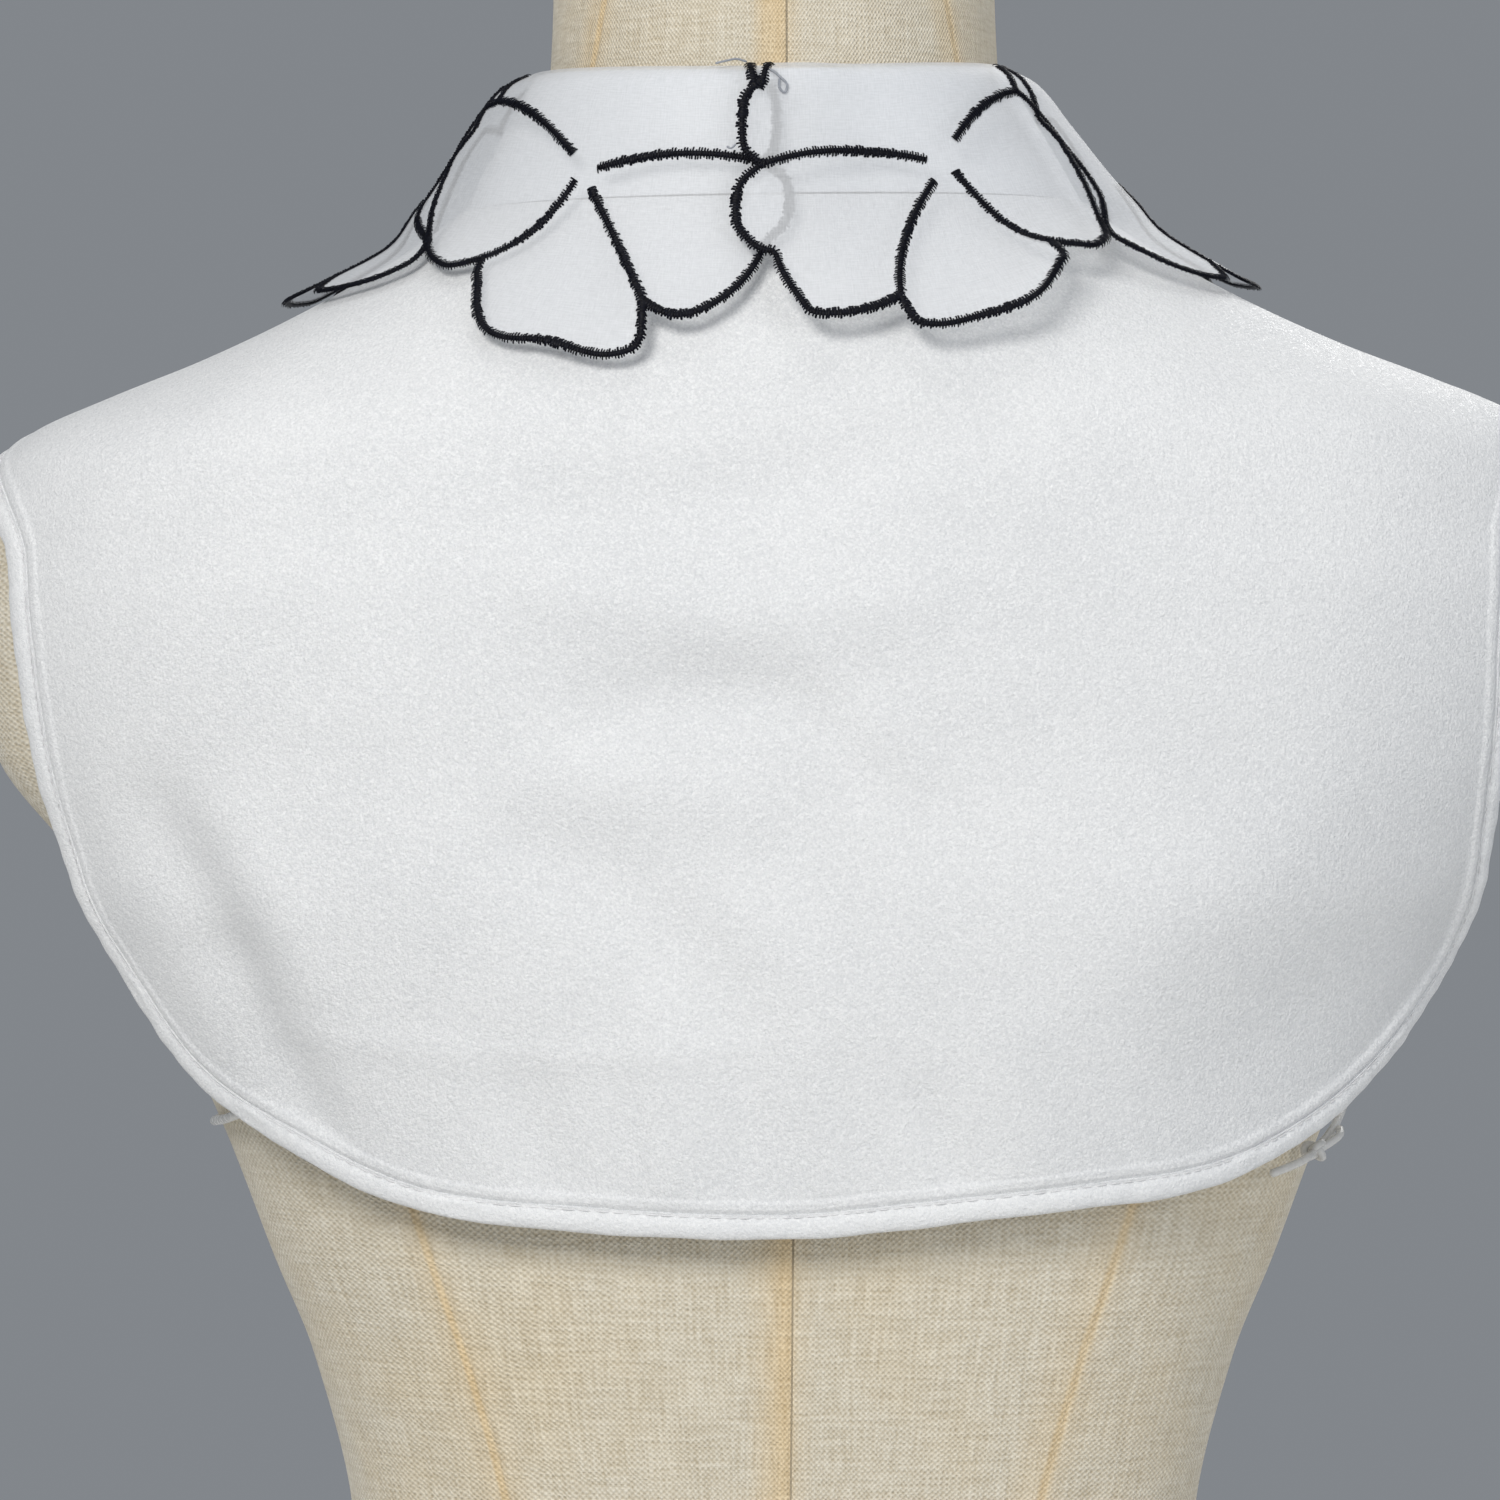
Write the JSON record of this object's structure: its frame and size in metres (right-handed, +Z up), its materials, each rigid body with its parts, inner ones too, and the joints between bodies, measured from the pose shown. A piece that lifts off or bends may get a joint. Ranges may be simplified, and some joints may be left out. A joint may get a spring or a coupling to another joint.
{
  "type": "embroidered false collar on a dress form",
  "caption": "Sleeveless white dickey with a sheer turn-down collar of outlined flower petals, worn on a limbless linen-covered dress form.",
  "frame": {"origin": "on the floor under the axis of the neck, in the flat underside of the dress form", "axes": "+Z up, +Y out of the wearer's back, +X to the wearer's left"},
  "size_m": [0.3878, 0.2265, 0.6105],
  "materials": {
    "crepe": "matt white crepe with a faint sparkle",
    "organza": "sheer white organza",
    "stitching": "black satin stitch",
    "binding": "white crepe strip, folded and topstitched",
    "elastic": "clear elastic",
    "button": "white, polished",
    "linen": "cream slub linen over a hard form"
  },
  "bodies": {
    "root": {"bib_back": "crepe", "bib_front_left": "crepe", "bib_front_right": "crepe", "placket": "crepe", "neck_band": "organza", "collar_left": "organza", "collar_right": "organza", "embroidery_left": "stitching", "embroidery_right": "stitching", "binding_back": "binding", "binding_front_left": "binding", "binding_front_right": "binding", "elastic_left": "elastic", "elastic_right": "elastic", "button_1": "button", "button_2": "button", "button_3": "button", "button_4": "button", "form_body": "linen"}
  },
  "joints": []
}
